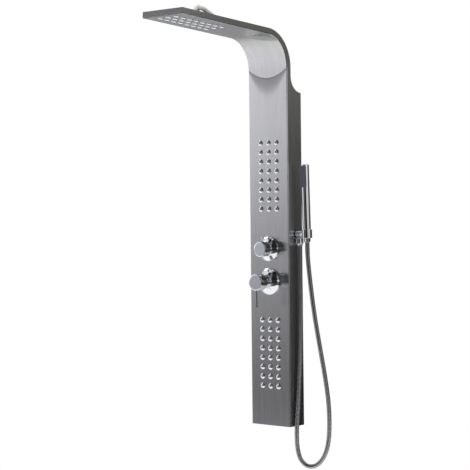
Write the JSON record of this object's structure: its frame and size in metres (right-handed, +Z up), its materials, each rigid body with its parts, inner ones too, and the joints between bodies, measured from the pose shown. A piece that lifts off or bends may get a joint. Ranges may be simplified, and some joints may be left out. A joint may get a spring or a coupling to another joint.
{
  "type": "shower panel",
  "caption": "Wall-hung brushed steel shower panel with an overhead rain arm, body jets, a mixer lever, a diverter knob and a hand shower on a metal hose.",
  "frame": {"origin": "on the wall plane, at the middle of the upper wall bracket's two screw holes", "axes": "+X to the right seen from the front, +Y into the wall, +Z up"},
  "size_m": [0.2855, 0.5846, 1.4792],
  "materials": {
    "brushed_panel": "brushed lengthwise",
    "plated_steel": "zinc plated",
    "white_plastic": "moulded",
    "white_hose": "smooth",
    "chrome_trim": "polished",
    "jet_rubber": "soft",
    "black_rubber": "soft",
    "black_plastic": "moulded",
    "valve_brass": "machined",
    "copper_pipe": "drawn",
    "satin_cap": "satin",
    "plated_screw": "plated",
    "chromed_plastic": "chrome plated",
    "spray_plastic": "moulded",
    "hose_metal": "wound metal strip"
  },
  "bodies": {
    "panel": {"panel_shell": "brushed_panel", "upper_hanger_strip": "plated_steel", "lower_hanger_strip": "plated_steel", "upper_wall_bracket": "plated_steel", "lower_wall_bracket": "plated_steel", "rain_chamber": "white_plastic", "rain_chamber_lid": "white_plastic", "rain_jet_bezels": "chrome_trim", "rain_jet_tips": "jet_rubber", "rain_inlet_elbow": "white_plastic", "rain_elbow_nut": "black_plastic", "rain_supply_hose": "white_hose", "upper_jet_manifold": "black_plastic", "upper_manifold_lid": "black_plastic", "upper_jet_bezels": "chrome_trim", "upper_jet_tips": "jet_rubber", "upper_jet_hose": "white_hose", "lower_jet_manifold": "black_plastic", "lower_manifold_lid": "black_plastic", "lower_jet_bezels": "chrome_trim", "lower_jet_tips": "jet_rubber", "lower_jet_hose": "white_hose", "mixer_body": "valve_brass", "mixer_cartridge": "white_plastic", "mixer_lock_nut": "valve_brass", "mixer_escutcheon": "chrome_trim", "mixer_collar": "chrome_trim", "transfer_pipe": "copper_pipe", "diverter_body": "valve_brass", "diverter_cartridge": "white_plastic", "diverter_lock_nut": "valve_brass", "diverter_escutcheon": "chrome_trim", "outlet_pipe": "copper_pipe", "outlet_gasket": "black_rubber", "outlet_back_nut": "valve_brass", "holder_elbow": "chrome_trim", "clip_screw": "plated_screw", "hose_outlet_nut": "chrome_trim", "hose_washer": "black_rubber", "shower_hose": "hose_metal"},
    "diverter_handle": {"diverter_spindle": "valve_brass", "diverter_knob": "chrome_trim", "diverter_knob_cap": "satin_cap", "diverter_pin": "chrome_trim"},
    "mixer_turret": {"mixer_carrier": "valve_brass", "mixer_pivot_pin": "plated_screw"},
    "mixer_handle": {"mixer_stem": "chrome_trim", "mixer_knob": "chrome_trim", "mixer_knob_cap": "satin_cap", "mixer_lever": "chrome_trim"},
    "clip": {"holder_clip": "chrome_trim"},
    "handset": {"handset_body": "chromed_plastic", "handset_end_cap": "chromed_plastic", "handset_spray_face": "spray_plastic", "handset_nozzles": "jet_rubber", "handset_washer": "black_rubber", "hose_cone_nut": "chrome_trim"}
  },
  "joints": [
    {"name": "diverter_turn", "type": "hinge", "parent": "panel", "child": "diverter_handle", "pos_m": [0, -0.0735, -0.4195], "axis": [0, 1, 0], "range_deg": [-90, 180]},
    {"name": "mixer_temperature", "type": "hinge", "parent": "panel", "child": "mixer_turret", "pos_m": [0, -0.106, -0.5265], "axis": [0, 1, 0], "range_deg": [-45, 45]},
    {"name": "mixer_flow", "type": "hinge", "parent": "mixer_turret", "child": "mixer_handle", "pos_m": [0, -0.106, -0.5265], "axis": [-1, 0, 0], "range_deg": [0, 20]},
    {"name": "clip_swivel", "type": "hinge", "parent": "panel", "child": "clip", "pos_m": [0.125, -0.034, -0.371], "axis": [1, 0, 0], "range_deg": [-10, 25]},
    {"name": "handset_lift", "type": "slide", "parent": "clip", "child": "handset", "axis": [0, -0.0349, 0.9994], "range_m": [0, 0.06]}
  ]
}
